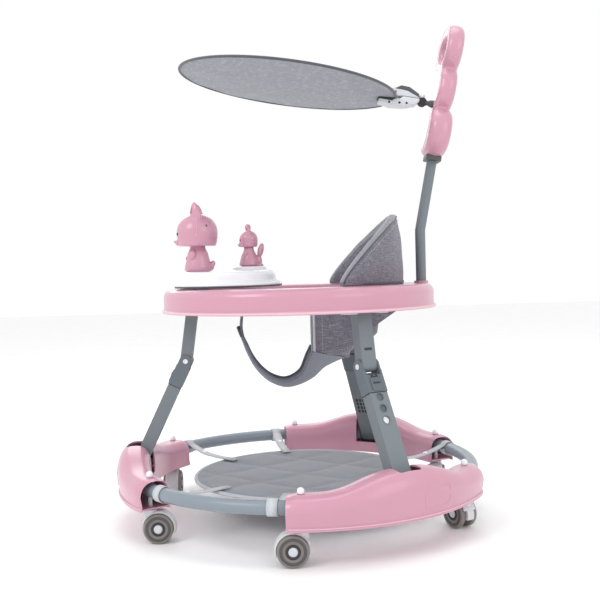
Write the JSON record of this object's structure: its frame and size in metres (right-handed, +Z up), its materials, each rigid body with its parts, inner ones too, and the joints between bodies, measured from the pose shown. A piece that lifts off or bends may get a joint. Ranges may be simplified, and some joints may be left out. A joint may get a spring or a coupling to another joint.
{
  "type": "baby walker",
  "caption": "Folding baby walker with a wheeled round base, padded ring seat, play tray with turning figures, push handle and tilting round sunshade.",
  "frame": {"origin": "on the floor, at the centre of the round base and of the ring-shaped seat frame", "axes": "+Z up; the walker's front, with the play tray, faces -Y and the push handle is at +Y; +X is the walker's left"},
  "size_m": [0.718, 0.7029, 0.9519],
  "materials": {
    "tube_paint": "satin grey paint",
    "pink_plastic": "soft gloss, dusty pink",
    "pink_gloss": "gloss, dusty pink",
    "dark_plastic": "matt dark grey",
    "pin_steel": "plain steel",
    "pale_plastic": "light grey",
    "wheel_plastic": "smoky brown-grey tread",
    "mat_fabric": "quilted grey cloth",
    "strap_fabric": "light grey webbing",
    "leg_plastic": "fine-textured mid grey",
    "white_plastic": "gloss white",
    "toy_plastic": "gloss pink",
    "seat_fabric": "heather purple-grey cloth",
    "shade_fabric": "heather grey cloth"
  },
  "bodies": {
    "base": {"base_tube_left": "tube_paint", "base_tube_rear": "tube_paint", "base_tube_right": "tube_paint", "bumper_front": "pink_plastic", "bumper_left": "pink_plastic", "bumper_right": "pink_plastic", "bumper_base_front": "pink_plastic", "bumper_base_left": "pink_plastic", "bumper_base_right": "pink_plastic", "leg_bracket_front": "dark_plastic", "leg_bracket_left": "dark_plastic", "leg_bracket_right": "dark_plastic", "caster_stems": "pin_steel", "foot_mat": "mat_fabric", "mat_straps": "strap_fabric"},
    "swivel_front_left": {"caster_housing_front_left": "pale_plastic"},
    "wheels_front_left": {"caster_wheels_front_left": "wheel_plastic"},
    "swivel_mid_left": {"caster_housing_mid_left": "pale_plastic"},
    "wheels_mid_left": {"caster_wheels_mid_left": "wheel_plastic"},
    "swivel_rear_left": {"caster_housing_rear_left": "pale_plastic"},
    "wheels_rear_left": {"caster_wheels_rear_left": "wheel_plastic"},
    "swivel_rear_right": {"caster_housing_rear_right": "pale_plastic"},
    "wheels_rear_right": {"caster_wheels_rear_right": "wheel_plastic"},
    "swivel_mid_right": {"caster_housing_mid_right": "pale_plastic"},
    "wheels_mid_right": {"caster_wheels_mid_right": "wheel_plastic"},
    "swivel_front_right": {"caster_housing_front_right": "pale_plastic"},
    "wheels_front_right": {"caster_wheels_front_right": "wheel_plastic"},
    "lower_front": {"leg_pin_front": "pin_steel", "lower_leg_front": "leg_plastic", "knee_housing_front": "leg_plastic"},
    "upper_front": {"upper_leg_front": "leg_plastic"},
    "latch_front": {"fold_latch_front": "leg_plastic"},
    "button_front": {"height_button_front": "white_plastic"},
    "lower_left": {"leg_pin_left": "pin_steel", "lower_leg_left": "leg_plastic", "knee_housing_left": "leg_plastic"},
    "upper_left": {"upper_leg_left": "leg_plastic"},
    "latch_left": {"fold_latch_left": "leg_plastic"},
    "button_left": {"height_button_left": "white_plastic"},
    "lower_right": {"leg_pin_right": "pin_steel", "lower_leg_right": "leg_plastic", "knee_housing_right": "leg_plastic"},
    "upper_right": {"upper_leg_right": "leg_plastic"},
    "latch_right": {"fold_latch_right": "leg_plastic"},
    "button_right": {"height_button_right": "white_plastic"},
    "seat_frame": {"top_pin_front": "pin_steel", "top_pins_rear": "pin_steel", "top_frame": "pink_gloss", "play_tray": "white_plastic", "seat_sling": "seat_fabric", "backrest": "seat_fabric", "crotch_strap": "seat_fabric", "push_rod": "leg_plastic", "handle": "pink_gloss", "handle_cap": "white_plastic", "shade_knuckle": "dark_plastic"},
    "kitten": {"toy_kitten": "toy_plastic"},
    "squirrel": {"toy_squirrel": "toy_plastic"},
    "shade": {"shade_clip": "dark_plastic", "sunshade": "shade_fabric"}
  },
  "joints": [
    {"name": "swivel_turn_front_left", "type": "hinge", "parent": "base", "child": "swivel_front_left", "pos_m": [0.17487, -0.27986, 0.05], "axis": [0, 0, 1], "continuous": true},
    {"name": "wheel_spin_front_left", "type": "hinge", "parent": "swivel_front_left", "child": "wheels_front_left", "pos_m": [0.17487, -0.26486, 0.027], "axis": [-1, 0, 0], "continuous": true},
    {"name": "swivel_turn_mid_left", "type": "hinge", "parent": "base", "child": "swivel_mid_left", "pos_m": [0.3298, -0.01152, 0.05], "axis": [0, 0, 1], "continuous": true},
    {"name": "wheel_spin_mid_left", "type": "hinge", "parent": "swivel_mid_left", "child": "wheels_mid_left", "pos_m": [0.3298, -0.02652, 0.027], "axis": [1, 0, 0], "continuous": true},
    {"name": "swivel_turn_rear_left", "type": "hinge", "parent": "base", "child": "swivel_rear_left", "pos_m": [0.15493, 0.29137, 0.05], "axis": [0, 0, 1], "continuous": true},
    {"name": "wheel_spin_rear_left", "type": "hinge", "parent": "swivel_rear_left", "child": "wheels_rear_left", "pos_m": [0.14194, 0.28387, 0.027], "axis": [0.5, -0.866, 0], "continuous": true},
    {"name": "swivel_turn_rear_right", "type": "hinge", "parent": "base", "child": "swivel_rear_right", "pos_m": [-0.15493, 0.29137, 0.05], "axis": [0, 0, 1], "continuous": true},
    {"name": "wheel_spin_rear_right", "type": "hinge", "parent": "swivel_rear_right", "child": "wheels_rear_right", "pos_m": [-0.14015, 0.28877, 0.027], "axis": [0.1736, 0.9848, 0], "continuous": true},
    {"name": "swivel_turn_mid_right", "type": "hinge", "parent": "base", "child": "swivel_mid_right", "pos_m": [-0.3298, -0.01152, 0.05], "axis": [0, 0, 1], "continuous": true},
    {"name": "wheel_spin_mid_right", "type": "hinge", "parent": "swivel_mid_right", "child": "wheels_mid_right", "pos_m": [-0.3148, -0.01152, 0.027], "axis": [0, 1, 0], "continuous": true},
    {"name": "swivel_turn_front_right", "type": "hinge", "parent": "base", "child": "swivel_front_right", "pos_m": [-0.17487, -0.27986, 0.05], "axis": [0, 0, 1], "continuous": true},
    {"name": "wheel_spin_front_right", "type": "hinge", "parent": "swivel_front_right", "child": "wheels_front_right", "pos_m": [-0.15987, -0.27986, 0.027], "axis": [0, 1, 0], "continuous": true},
    {"name": "fold", "type": "hinge", "parent": "base", "child": "lower_front", "pos_m": [0, -0.33, 0.095], "axis": [-1, 0, 0], "range_deg": [0, 35]},
    {"name": "knee_front", "type": "hinge", "parent": "lower_front", "child": "upper_front", "pos_m": [0, -0.226, 0.30796], "axis": [1, 0, 0], "range_deg": [0, 99.29]},
    {"name": "latch_slide_front", "type": "slide", "parent": "lower_front", "child": "latch_front", "axis": [0, 0.4388, 0.8986], "range_m": [0, 0.007], "stiffness_N_per_m": 120},
    {"name": "button_press_front", "type": "slide", "parent": "lower_front", "child": "button_front", "axis": [0, 0.8986, -0.4388], "range_m": [0, 0.004], "stiffness_N_per_m": 200},
    {"name": "fold_left", "type": "hinge", "parent": "base", "child": "lower_left", "pos_m": [0.28579, 0.165, 0.095], "axis": [0.5, -0.866, 0], "range_deg": [0, 35.05]},
    {"name": "knee_left", "type": "hinge", "parent": "lower_left", "child": "upper_left", "pos_m": [0.19572, 0.113, 0.30796], "axis": [-0.5, 0.866, 0], "range_deg": [0, 99.29]},
    {"name": "latch_slide_left", "type": "slide", "parent": "lower_left", "child": "latch_left", "axis": [-0.38, -0.2194, 0.8986], "range_m": [0, 0.007], "stiffness_N_per_m": 120},
    {"name": "button_press_left", "type": "slide", "parent": "lower_left", "child": "button_left", "axis": [-0.7782, -0.4493, -0.4388], "range_m": [0, 0.004], "stiffness_N_per_m": 200},
    {"name": "fold_right", "type": "hinge", "parent": "base", "child": "lower_right", "pos_m": [-0.28579, 0.165, 0.095], "axis": [0.5, 0.866, 0], "range_deg": [0, 35.05]},
    {"name": "knee_right", "type": "hinge", "parent": "lower_right", "child": "upper_right", "pos_m": [-0.19572, 0.113, 0.30796], "axis": [-0.5, -0.866, 0], "range_deg": [0, 99.29]},
    {"name": "latch_slide_right", "type": "slide", "parent": "lower_right", "child": "latch_right", "axis": [0.38, -0.2194, 0.8986], "range_m": [0, 0.007], "stiffness_N_per_m": 120},
    {"name": "button_press_right", "type": "slide", "parent": "lower_right", "child": "button_right", "axis": [0.7782, -0.4493, -0.4388], "range_m": [0, 0.004], "stiffness_N_per_m": 200},
    {"name": "frame_level_fold", "type": "hinge", "parent": "upper_front", "child": "seat_frame", "pos_m": [0, -0.21, 0.414], "axis": [-1, 0, 0], "range_deg": [0, 64.29]},
    {"name": "kitten_turn", "type": "hinge", "parent": "seat_frame", "child": "kitten", "pos_m": [0.045, -0.193, 0.49], "axis": [0, 0, 1], "continuous": true},
    {"name": "squirrel_turn", "type": "hinge", "parent": "seat_frame", "child": "squirrel", "pos_m": [-0.02, -0.097, 0.5], "axis": [0, 0, 1], "continuous": true},
    {"name": "shade_tilt", "type": "hinge", "parent": "seat_frame", "child": "shade", "pos_m": [0, 0.25323, 0.80587], "axis": [1, 0, 0], "range_deg": [-20, 12]}
  ],
  "couplings": [
    {"joint": "knee_front", "follows": "fold", "ratio": 2.834},
    {"joint": "fold_left", "follows": "fold", "ratio": 1},
    {"joint": "knee_left", "follows": "fold", "ratio": 2.834},
    {"joint": "fold_right", "follows": "fold", "ratio": 1},
    {"joint": "knee_right", "follows": "fold", "ratio": 2.834},
    {"joint": "frame_level_fold", "follows": "fold", "ratio": 1.834}
  ]
}
